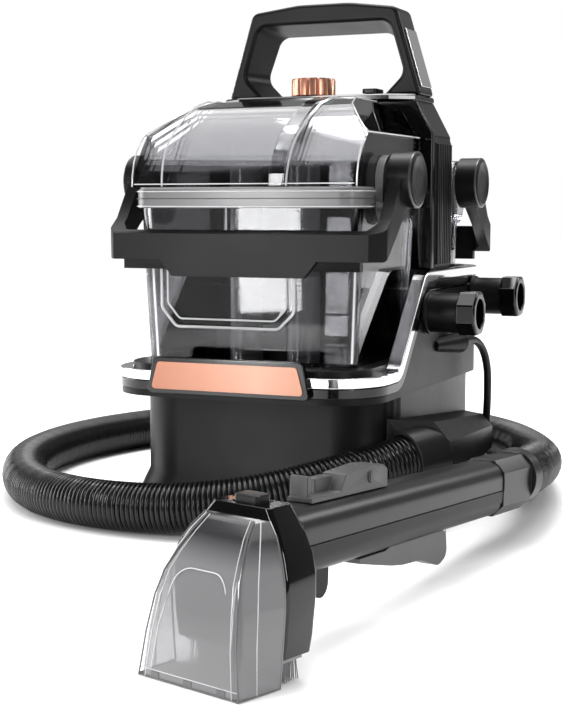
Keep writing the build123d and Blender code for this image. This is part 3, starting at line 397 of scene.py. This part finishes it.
HOSE_ROUTE = [
    (134, -107, 55.5), (113.2, -140.6, 49.9), (85.3, -170.8, 42), (51.3, -195.5, 33),
    (8.7, -212.7, 25), (-40.5, -221.4, 20.5), (-94.5, -219.5, 19.4), (-144, -203.4, 19.4),
    (-186, -172.8, 19.4), (-220, -130, 19.4), (-247, -82, 19.4), (-264, -28, 19.4),
    (-270, 34, 19.4), (-262, 98, 19.4), (-240, 158, 19.4), (-204, 212, 19.4),
    (-154, 255, 19.4), (-94, 282, 19.4), (-30, 292, 19.4), (32, 284, 19.4),
    (86, 256, 19.4), (128, 213, 19.6), (154.5, 163, 21.5), (174, 112, 25.5),
    (190.5, 60, 30.5), (202.5, 10, 36.3), (210.5, -38, 41.3), (214, -83, 45),
    (212.3, -123.4, 47.2),
]
CORD_ROUTE = [
    (124, 46, 133), (125.2, 58.3, 133), (126.6, 70.7, 132.4), (128, 82.5, 128.6),
    (129.6, 92.4, 121), (130.8, 99, 110.3), (131.4, 102, 98), (131, 103.8, 82),
    (129.8, 107, 66), (127.8, 111.5, 51), (125, 117.5, 37.5), (121.5, 126, 25),
    (116, 137, 14.5), (108, 149, 7.2), (97.5, 161.5, 4.1), (85, 175, 3.6),
    (70, 191, 3.6), (54, 210, 3.6), (39, 226.5, 3.6), (24, 240, 3.6),
]


def nurbs(name, places, bevel=0.0, resolution=6):
    """Smooth curve with those places, in mm, as its control points."""
    curve = bpy.data.curves.new(name, "CURVE")
    curve.dimensions = "3D"
    spline = curve.splines.new("NURBS")
    spline.points.add(len(places) - 1)
    for control, place in zip(spline.points, places):
        control.co = (*point(*place), 1)
    spline.order_u = 3
    spline.use_endpoint_u = True
    spline.resolution_u = resolution
    curve.bevel_depth = bevel * MM
    curve.bevel_resolution = 5
    curve.use_fill_caps = True
    piece = bpy.data.objects.new(name, curve)
    bpy.context.scene.collection.objects.link(piece)
    return piece


def followed(places, resolution=24):
    """The points of the NURBS through those places."""
    guide = nurbs("guide", places, resolution=resolution)
    mesh = bpy.data.meshes.new_from_object(guide)
    points = [v.co.copy() for v in mesh.vertices]
    bpy.data.objects.remove(guide)
    bpy.data.meshes.remove(mesh)
    return points


def even_steps(points, step):
    """Points at even distances along a polyline, in metres."""
    lengths = [0.0]
    for a, b in zip(points, points[1:]):
        lengths.append(lengths[-1] + (b - a).length)
    total = lengths[-1]
    count = int(total / step)
    out, i = [], 0
    for n in range(count + 1):
        s = total * n / count
        while i < len(lengths) - 2 and lengths[i + 1] < s:
            i += 1
        t = (s - lengths[i]) / max(lengths[i + 1] - lengths[i], 1e-9)
        out.append(points[i].lerp(points[i + 1], t))
    return out, total


PITCH_MM = 3.9
RIB = ((0.0, 17.5), (0.22, 18.6), (0.4, 19.25), (0.62, 19.25), (0.8, 18.6))


def corrugated(places):
    """Corrugated hose: a tube whose radius swells at every pitch. Returns mesh and path."""
    path, total = even_steps(followed(places), 0.0005)
    turns = int(total / (PITCH_MM * MM))
    pitch = total / turns
    rings = []
    side = (path[1] - path[0]).orthogonal().normalized()
    for n in range(turns):
        for share, radius in RIB:
            place = (n + share) * pitch
            i = min(int(place / total * (len(path) - 1)), len(path) - 2)
            here = path[i]
            forward = (path[min(i + 3, len(path) - 1)] - path[max(i - 3, 0)]).normalized()
            side = (side - forward * side.dot(forward)).normalized()
            other = forward.cross(side)
            rings.append([here + (side * cos(a) + other * sin(a)) * radius * MM
                          for a in (2 * pi * j / 24 for j in range(24))])
    return from_rings(rings), path[::20]


hose_mesh, hose_path = corrugated(HOSE_ROUTE)
hose = publish("suction_hose", hose_mesh, "machine", "hose_grey", replaces=("hose",), crease=60)

COIL_CENTRE = (-30, 209)
COIL_RADII = (56, 48.8, 41.6, 34.5)
COIL_LAYERS = (3.6, 10.8, 17.9, 25)
PER_TURN = 16


def coil_turns():
    """The coil's turns: in on one layer, out on the next."""
    places = []
    start = radians(52)
    step = 2 * pi / PER_TURN
    index = 0
    for layer, height in enumerate(COIL_LAYERS):
        radii = COIL_RADII if layer % 2 == 0 else COIL_RADII[::-1]
        for turn, radius in enumerate(radii):
            follower = radii[min(turn + 1, len(radii) - 1)]
            for k in range(PER_TURN):
                if layer == len(COIL_LAYERS) - 1 and turn == len(radii) - 1 and k > 4:
                    continue
                share = k / PER_TURN
                ease = max(0.0, share - 0.75) * 4
                r = radius + (follower - radius) * ease
                z = height
                if turn == len(radii) - 1 and layer < len(COIL_LAYERS) - 1:
                    z = height + (COIL_LAYERS[layer + 1] - height) * ease
                angle = start + index * step
                places.append((COIL_CENTRE[0] + r * cos(angle),
                               COIL_CENTRE[1] + r * sin(angle), z))
                index += 1
    return places


TURNS = coil_turns()
CORD_TAIL = [(-79, 196, 29), (-74, 182, 32.5), (-64, 171, 35.5), (-52, 165, 37.2),
             (-40, 164, 37.5), (-27.5, 164, 37.5)]
cord = nurbs("mains_cord", CORD_ROUTE + TURNS + CORD_TAIL, bevel=3.5)
cord.data.materials.append(MATERIALS["cord_black"])
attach(cord, "machine")
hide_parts("power_cord", "power_cord_coil")

plug = softened("power_plug", 1.2)

# ------------------------------------------------------------ softened CAD surfaces

ROUNDED = {
    "base_shell": 1.2, "tank_tray": 0.8, "rim_black": 0.8, "rim_chrome": 0.8,
    "badge_bezel": 0.8, "front_bail": 1.6,
    "rear_bail": 1.6, "tower_cowl": 1.6, "tower_shell": 1.5, "rib_panels": 0.5,
    "control_deck": 0.6, "carry_handle": 3.2, "handle_strips": 0.4, "power_button": 0.5,
    "tool_posts": 1.0, "post_sockets": 1.0, "hose_port": 4.0, "hose_collar": 1.0,
    "fill_cap": 0.6, "cord_gland": 0.5, "base_plate": 0.6, "rubber_feet": 0.8,
}
for node_name, width in ROUNDED.items():
    softened(node_name, width)
softened("badge_plate", 0.4, BADGE)
softened("tank_collar", 0.9, SEAL_BAND)
softened("wand_lower", 1.6, WAND_BLACK)
softened("wand_tail", 3.0, WAND_DARK, 3)
softened("steam_slider", 1.2, GREY_SATIN)
softened("trigger", 2.2, TRIGGER_GREY)
softened("nozzle_body", 2.0)
softened("release_button", 0.6)

# --------------------------------------------------------------- machine details

# rounded lid with a moulded arch, tank window and seal lines
LID_PROFILE = [(-151, 267), (-150.2, 276), (-147.5, 286), (-143, 295), (-137, 302.6),
               (-129.5, 309), (-118, 317), (-104, 325), (-88, 333.6), (-62, 339.7),
               (-12, 339.7)]


def lid_rib(name, front_x, top_x, width, proud, material=None):
    """Raised clear band over the lid, from its front edge to its top; a given material, such as
    the painted highlight colour, takes the place of the clear plastic.
    """
    rings = []
    low_z, high_z = LID_PROFILE[0][1], LID_PROFILE[-1][1]
    for i, (y, z) in enumerate(LID_PROFILE):
        before, after = LID_PROFILE[max(i - 1, 0)], LID_PROFILE[min(i + 1, len(LID_PROFILE) - 1)]
        run = Vector((0, after[0] - before[0], after[1] - before[1])).normalized()
        out = Vector((0, -run.z, run.y))
        x = front_x + (top_x - front_x) * (z - low_z) / (high_z - low_z)
        base = Vector((x, y, z))
        rings.append([(base + Vector((across, 0, 0)) + out * h) * MM
                      for across, h in ((-width / 2, -0.3), (-width / 2 + 0.8, proud),
                                        (width / 2 - 0.8, proud), (width / 2, -0.3))])
    piece = publish(name, from_rings(rings), "tank_lid_unit", "smoke_clear", material)
    return bevelled(piece, 0.3)


lid_rib("lid_rib_right", 30, 33, 13, 1.4)
# the right rib's edge and the left rib are beads in a painted highlight colour, where white
# highlights run up the lid
lid_rib("lid_rib_right_edge", 38.5, 42.5, 1.6, 2.0, EDGE_PAINTED_HIGHLIGHT)
lid_rib("lid_rib_left", -70, -72, 1.8, 0.9, EDGE_PAINTED_HIGHLIGHT)

# thick edges of the clear lid, where the dome meets its sloped and upright sides, drawn as beads
# in a painted highlight colour
LID_HALF, SLOPE_FOOT, SLOPE_RUN = 97, 309, 35 / 31
for side, name in ((-1, "left"), (1, "right")):
    edge = [(side * (LID_HALF - max(0, z - SLOPE_FOOT) * SLOPE_RUN), y, z)
            for y, z in LID_PROFILE]
    wire(f"lid_edge_{name}", edge, 0.65, "tank_lid_unit", "smoke_clear", EDGE_PAINTED_HIGHLIGHT)
    shoulder = [(side * LID_HALF, y, SLOPE_FOOT) for y in (-129.5, -100, -50, 0)]
    wire(f"lid_shoulder_{name}", shoulder, 0.65, "tank_lid_unit", "smoke_clear", EDGE_PAINTED_HIGHLIGHT)
foot = [(x, LID_PROFILE[0][0] - 0.2, 269) for x in (-LID_HALF + 2, 0, LID_HALF - 2)]
wire("lid_foot_line", foot, 0.45, "tank_lid_unit", "smoke_clear", EDGE_PAINTED_HIGHLIGHT)

SEAL_CORNERS = ((98.2, -2), (98.2, -136), (96.5, -144), (92, -149), (84, -151.2))
# the upper and lower seal lines are beads in a painted highlight colour; the middle one is grey
# satin
for z, radius, bead in ((251.4, 0.45, EDGE_PAINTED_HIGHLIGHT), (257.5, 0.3, GREY_SATIN),
                        (263.2, 0.45, EDGE_PAINTED_HIGHLIGHT)):
    loop = ([(-x, y, z) for x, y in SEAL_CORNERS]
            + [(x, y, z) for x, y in SEAL_CORNERS[::-1]])
    wire(f"seal_line_{int(z)}", loop, radius, "recovery_tank_unit", "bright_trim", bead)

# the sight window on the tank's front: an outer and an inner line with cut corners, drawn in a
# painted highlight colour
WINDOW = [(-73, 203), (-73, 170), (-60, 154.8), (30, 154.8), (43.4, 168), (43.4, 203)]
WINDOW_INNER = [(-67.6, 203), (-67.6, 174), (-57, 161.2), (27, 161.2), (36.6, 171),
                (36.6, 203)]
wire("tank_window_line", [(x, -146.2, z) for x, z in rounded(WINDOW, 7)], 1.2,
     "recovery_tank_unit", "bright_trim", EDGE_PAINTED_HIGHLIGHT)
wire("tank_window_inner", [(x, -146.2, z) for x, z in rounded(WINDOW_INNER, 6)], 0.8,
     "recovery_tank_unit", "bright_trim", EDGE_PAINTED_HIGHLIGHT)

# hub caps: dished discs with a bright chamfer ring
for direction, body in ((-1, "front_bail_unit"), (1, "rear_bail_unit")):
    for side in (-1, 1):
        origin = (side * 125.7, direction * 91.6, 272)
        profile = [(19.8, 0), (19.8, 1.4), (19.0, 2.0), (17.6, 1.9), (16.8, 1.3), (8, 1.0),
                   (0.6, 0.9)]
        mesh = lathe(profile, origin, (side, 0, 0))
        name = f"hub_disc_{'front' if direction < 0 else 'rear'}_{'left' if side > 0 else 'right'}"
        replaced = ("front_bail_caps" if direction < 0 else "rear_bail_caps",)
        publish(name, mesh, body, "dark_grey", replaces=replaced)
        ring = lathe([(22.1, -1.2), (22.5, -0.4), (22.3, 0.4), (20.4, 0.9), (20.0, 0.3),
                      (20.0, -1.2)], origin, (side, 0, 0))
        publish(name + "_ring", ring, body, "bright_trim", HUB_RING)

# fluted control knob with a dark top and a pointer
KNOB = (-9, 22)


def flutes(angle, height):
    return 1 - 0.1 * max(0.0, cos(14 * angle)) ** 4 if height < 15.5 else 1


knob = lathe([(4, -16), (4, 0.5), (18, 0.5), (19.4, 1.5), (19.4, 14.6), (18.6, 16.2),
              (15.2, 16.6), (14.8, 15.6), (14, 15.4)], (*KNOB, 347), (0, 0, 1), 168, flutes)
publish("mode_knob_copper", knob, "mode_knob_unit", "copper_trim", replaces=("mode_knob",))
cap = lathe([(14.6, 14.8), (14.6, 15.9), (13.8, 16.4), (0.5, 16.6)], (*KNOB, 347), (0, 0, 1))
publish("mode_knob_top", cap, "mode_knob_unit", "gloss_black")
pointer = prism([(-0.8, 4), (0.8, 4), (0.8, 13), (-0.8, 13)],
                ((*KNOB, 363.5), (0.3, -0.954, 0), (-0.954, -0.3, 0)), -0.5)
bevelled(publish("mode_knob_pointer", pointer, "mode_knob_unit", "bright_trim"), 0.2)

# ----------------------------------------------------------------- hand tool details

WAND_FRONT, WAND_TAIL = Vector((167, -480, 68)), Vector((213.8, -111.5, 46.5))
WX = (WAND_TAIL - WAND_FRONT).normalized()
WY = Vector((0, 0, 1)).cross(WX).normalized()
WZ = WX.cross(WY)


def wand(x, y, z):
    """A place on the wand, in mm: along it, to its far side, up."""
    return tuple(WAND_FRONT + WX * x + WY * y + WZ * z)


# upper shell: a smooth arch with an open underside
ARCH = rounded([(-17, -2.8), (-17, 10), (-9, 18), (9, 18), (17, 10), (17, -2.8)], 12.5)
UNDER = rounded([(14.6, -2.8), (14.6, 9), (8, 15.6), (-8, 15.6), (-14.6, 9), (-14.6, -2.8)],
                10)
ends = [[Vector(wand(x, y, z)) * MM for y, z in ARCH + UNDER] for x in (12, 304)]
shell = publish("wand_upper_shell", from_rings(ends), "machine", SLOTS["wand_upper"],
                WAND_DARK, ("wand_upper",))
bevelled(shell, 0.8, 2, 50)
for side, name in ((-1, "near"), (1, "far")):
    wire(f"wand_groove_{name}", [wand(14, side * 17, -3), wand(302, side * 17, -3)], 0.5,
         "machine", "gloss_black", WAND_BLACK)
seam = [wand(304.5, y * 1.03, z * 1.02) for y, z in ARCH]
wire("wand_seam_ring", seam, 0.5, "machine", "bright_trim", GREY_SATIN)
pin = [wand(110, y, 26.5) for y in (-8.2, -9.6)]
wire("slider_pin_cap", pin, 2.6, "slider_unit", "bright_trim", GREY_SATIN)

# nozzle: a smooth clear window with thick edges, and bristles behind it
NOZZLE_FOOT = Vector((147, -534, 0))
NOZZLE_YAW = radians(-17)
NX = Vector((cos(NOZZLE_YAW), sin(NOZZLE_YAW), 0))
NY = Vector((-NX.y, NX.x, 0))


def nozzle(x, y, z):
    """A place on the nozzle, in mm: across it, back from its mouth, up."""
    return tuple(NOZZLE_FOOT + NX * x + NY * y + Vector((0, 0, z)))


# the window's outside: height, half width at the front, front, half width at the back, back
SECTIONS = [(0.4, 36.5, 0, 38.5, 31), (25, 33, 2.5, 40.5, 31), (45, 30, 6.5, 42, 31),
            (58, 27, 11, 41, 31.6), (68, 23.8, 17.5, 37.5, 33.6), (78, 20, 25.5, 31.5, 37),
            (86, 17, 34, 23.5, 40)]


def window_section(height):
    """The window's measures at a height, eased between the listed ones."""
    for low, high in zip(SECTIONS, SECTIONS[1:]):
        if height <= high[0]:
            share = (height - low[0]) / (high[0] - low[0])
            return [a + (b - a) * share for a, b in zip(low, high)]
    return SECTIONS[-1]


WINDOW_FOOT, WINDOW_TOP, WINDOW_STEPS = 0.4, 86, 35
rings = []
for step in range(WINDOW_STEPS + 1):
    height = WINDOW_FOOT + (WINDOW_TOP - WINDOW_FOOT) * step / WINDOW_STEPS
    z, front_half, front, back_half, rear = window_section(height)
    corner = min(6, front_half * 0.3)
    outline = rounded([(-back_half, rear), (-front_half, front), (front_half, front),
                       (back_half, rear)], corner, 4)
    rings.append([Vector(nozzle(x, y, z)) * MM for x, y in outline])
# each pass eases the kinks between the listed heights
for smoothing_pass in range(2):
    rings = [rings[0]] + [[(a + b * 2 + c) / 4 for a, b, c in zip(*group)]
                          for group in zip(rings, rings[1:], rings[2:])] + [rings[-1]]
publish("nozzle_window_smooth", from_rings(rings), "nozzle_unit", "grey_clear",
        replaces=("nozzle_window",), crease=50)


def window_line(side, inward, back=0.0):
    """A line up the window's side, moved in from its edge, a share of the way back."""
    places = []
    for z, front_half, front, back_half, rear in SECTIONS:
        half = front_half + (back_half - front_half) * back - inward * front_half / 36.5
        places.append(nozzle(side * half, front + (rear - front) * back, z))
    return places


# the inner edges and the side bands are beads in a painted highlight colour
for side, name in ((-1, "left"), (1, "right")):
    wire(f"nozzle_edge_{name}", window_line(side, 0.3), 0.55, "nozzle_unit", "grey_clear",
         LENS_LINE)
    wire(f"nozzle_edge_inner_{name}", window_line(side, 5), 0.3, "nozzle_unit",
         "grey_clear", EDGE_PAINTED_HIGHLIGHT)
    wire(f"nozzle_back_edge_{name}", window_line(side, 0.4, 0.97), 0.5, "nozzle_unit",
         "grey_clear", LENS_LINE)
    wire(f"nozzle_side_band_{name}", window_line(side, 0.1, 0.42), 0.35, "nozzle_unit",
         "grey_clear", EDGE_PAINTED_HIGHLIGHT)
lip = [nozzle(-38, 30, 1), nozzle(-36.5, 0.5, 1), nozzle(36.5, 0.5, 1), nozzle(38, 30, 1)]
wire("nozzle_lip", lip, 0.7, "nozzle_unit", "grey_clear", LENS_LINE)
# the lip line is a bead in a painted highlight colour
lip_line = [nozzle(-35, 0.7, 5), nozzle(35, 0.7, 5)]
wire("nozzle_lip_line", lip_line, 0.35, "nozzle_unit", "grey_clear", EDGE_PAINTED_HIGHLIGHT)
for number, x in enumerate((-24, 0, 24)):
    clip = prism([(-3, 0), (3, 0), (3, 3.2), (-3, 3.2)],
                 (nozzle(x, -0.2, 1.2), tuple(NX), (0, 0, 1)), -1.2)
    bevelled(publish(f"nozzle_lip_clip_{number}", clip, "nozzle_unit", "grey_clear", LENS_LINE),
             0.3)
# the arch line is a bead in a painted highlight colour
ARCH_OUTLINE = rounded([(-27, 6), (-24, 30), (-17, 61), (17, 61), (19, 54)], 12, 8)
arch = [nozzle(x, window_section(z)[2] - 0.2, z) for x, z in ARCH_OUTLINE]
wire("nozzle_arch_line", arch, 0.35, "nozzle_unit", "grey_clear", EDGE_PAINTED_HIGHLIGHT)

BRISTLE_TOP, BRISTLE_RADIUS = 12, 0.34
BRISTLE_ROWS, BRISTLE_COLUMNS, ROW_GAP = 6, 56, 2.3
BRUSH_HALF, BRUSH_FRONT = 33, 38
bristles = bmesh.new()
for row in range(BRISTLE_ROWS):
    for column in range(BRISTLE_COLUMNS):
        x = (-BRUSH_HALF + 2 * BRUSH_HALF * column / (BRISTLE_COLUMNS - 1)
             + RNG.uniform(-0.4, 0.4))
        y = BRUSH_FRONT + ROW_GAP * row + RNG.uniform(-0.5, 0.5)
        lean_x, lean_y = RNG.uniform(-1.2, 1.2), RNG.uniform(-1.0, 1.6)
        foot = Vector(nozzle(x + lean_x, y + lean_y, 0.4))
        head = Vector(nozzle(x, y, BRISTLE_TOP))
        ring = [bristles.verts.new((place + Vector((cos(a), sin(a), 0)) * BRISTLE_RADIUS)
                                    * MM)
                for place in (foot, head) for a in (0, 2 * pi / 3, 4 * pi / 3)]
        for a, b in ((0, 1), (1, 2), (2, 0)):
            bristles.faces.new((ring[a], ring[b], ring[b + 3], ring[a + 3]))
        bristles.faces.new(ring[:3][::-1])
        bristles.faces.new(ring[3:])
block = bmesh.ops.create_cube(bristles, size=1)
bmesh.ops.transform(bristles, verts=block["verts"], matrix=Matrix.Translation(
    Vector(nozzle(0, 44, BRISTLE_TOP + 1.5)) * MM) @ Matrix.Rotation(NOZZLE_YAW, 4, "Z")
    @ Matrix.Diagonal((0.07, 0.016, 0.003, 1)))
mesh = bpy.data.meshes.new("nozzle_bristles")
bristles.to_mesh(mesh)
bristles.free()
publish("nozzle_bristles", mesh, "nozzle_unit", "bristle_grey", replaces=("nozzle_brush",))

# ------------------------------------------------------------------ floor and lights

FLOOR_HALF = 6
floor_mesh = bpy.data.meshes.new("floor")
floor_mesh.from_pydata([(-FLOOR_HALF, -FLOOR_HALF, 0), (FLOOR_HALF, -FLOOR_HALF, 0),
                        (FLOOR_HALF, FLOOR_HALF, 0), (-FLOOR_HALF, FLOOR_HALF, 0)], [],
                       [(0, 1, 2, 3)])
floor = bpy.data.objects.new("floor", floor_mesh)
bpy.context.scene.collection.objects.link(floor)
floor.data.materials.append(moulded("pale_floor", (0.9, 0.9, 0.9), 0.7, variation=0.01,
                                    specular=0.2))

world = bpy.data.worlds.new("studio")
bpy.context.scene.world = world
world.use_nodes = True
tree = world.node_tree
backdrop = tree.nodes["Background"]
backdrop.inputs["Color"].default_value = (1, 1, 1, 1)
# a white backdrop to look at; surfaces reflect a dim room that is brighter behind
sky = tree.nodes.new("ShaderNodeTexCoord")
parts = tree.nodes.new("ShaderNodeSeparateXYZ")
tree.links.new(sky.outputs["Generated"], parts.inputs["Vector"])
room = tree.nodes.new("ShaderNodeMapRange")
room.interpolation_type = "SMOOTHSTEP"
for key, value in (("From Min", 0.1), ("From Max", 0.75), ("To Min", 0.08), ("To Max", 0.3)):
    room.inputs[key].default_value = value
tree.links.new(parts.outputs["Y"], room.inputs["Value"])
seen = tree.nodes.new("ShaderNodeLightPath")
strength = tree.nodes.new("ShaderNodeMix")
tree.links.new(seen.outputs["Is Camera Ray"], strength.inputs["Factor"])
tree.links.new(room.outputs["Result"], strength.inputs["A"])
strength.inputs["B"].default_value = 1.0
tree.links.new(strength.outputs["Result"], backdrop.inputs["Strength"])


def softbox(name, place, aim, width, height, brightness):
    """Rectangular light of that radiance."""
    lamp = bpy.data.lights.new(name, "AREA")
    lamp.shape = "RECTANGLE"
    lamp.size, lamp.size_y = width, height
    lamp.energy = brightness * pi * width * height
    holder = bpy.data.objects.new(name, lamp)
    bpy.context.scene.collection.objects.link(holder)
    holder.location = place
    direction = Vector(aim) - Vector(place)
    holder.rotation_euler = direction.to_track_quat("-Z", "Y").to_euler()


softbox("wall_left", (-1.9, -0.2, 0.7), (0, -0.1, 0.25), 1.2, 1.3, 7)
softbox("strip_front", (-0.47, -1.25, 0.37), (0.02, -0.15, 0.25), 0.1, 0.7, 36)
softbox("strip_right", (1.35, -0.95, 0.75), (0.1, -0.1, 0.2), 0.2, 0.9, 20)
softbox("back_right", (1.3, 1.9, 1.3), (0.1, 0, 0.3), 0.6, 0.5, 8)
softbox("top", (-0.1, 0.35, 1.8), (0, 0, 0.3), 1.0, 0.6, 12)
sun = bpy.data.lights.new("overhead", "SUN")
sun.energy = 3.5
sun.angle = radians(70)
holder = bpy.data.objects.new("overhead", sun)
bpy.context.scene.collection.objects.link(holder)
holder.rotation_euler = (radians(-12), radians(-8), 0)

scene = bpy.context.scene
scene.view_settings.view_transform = "Standard"
scene.view_settings.look = "None"
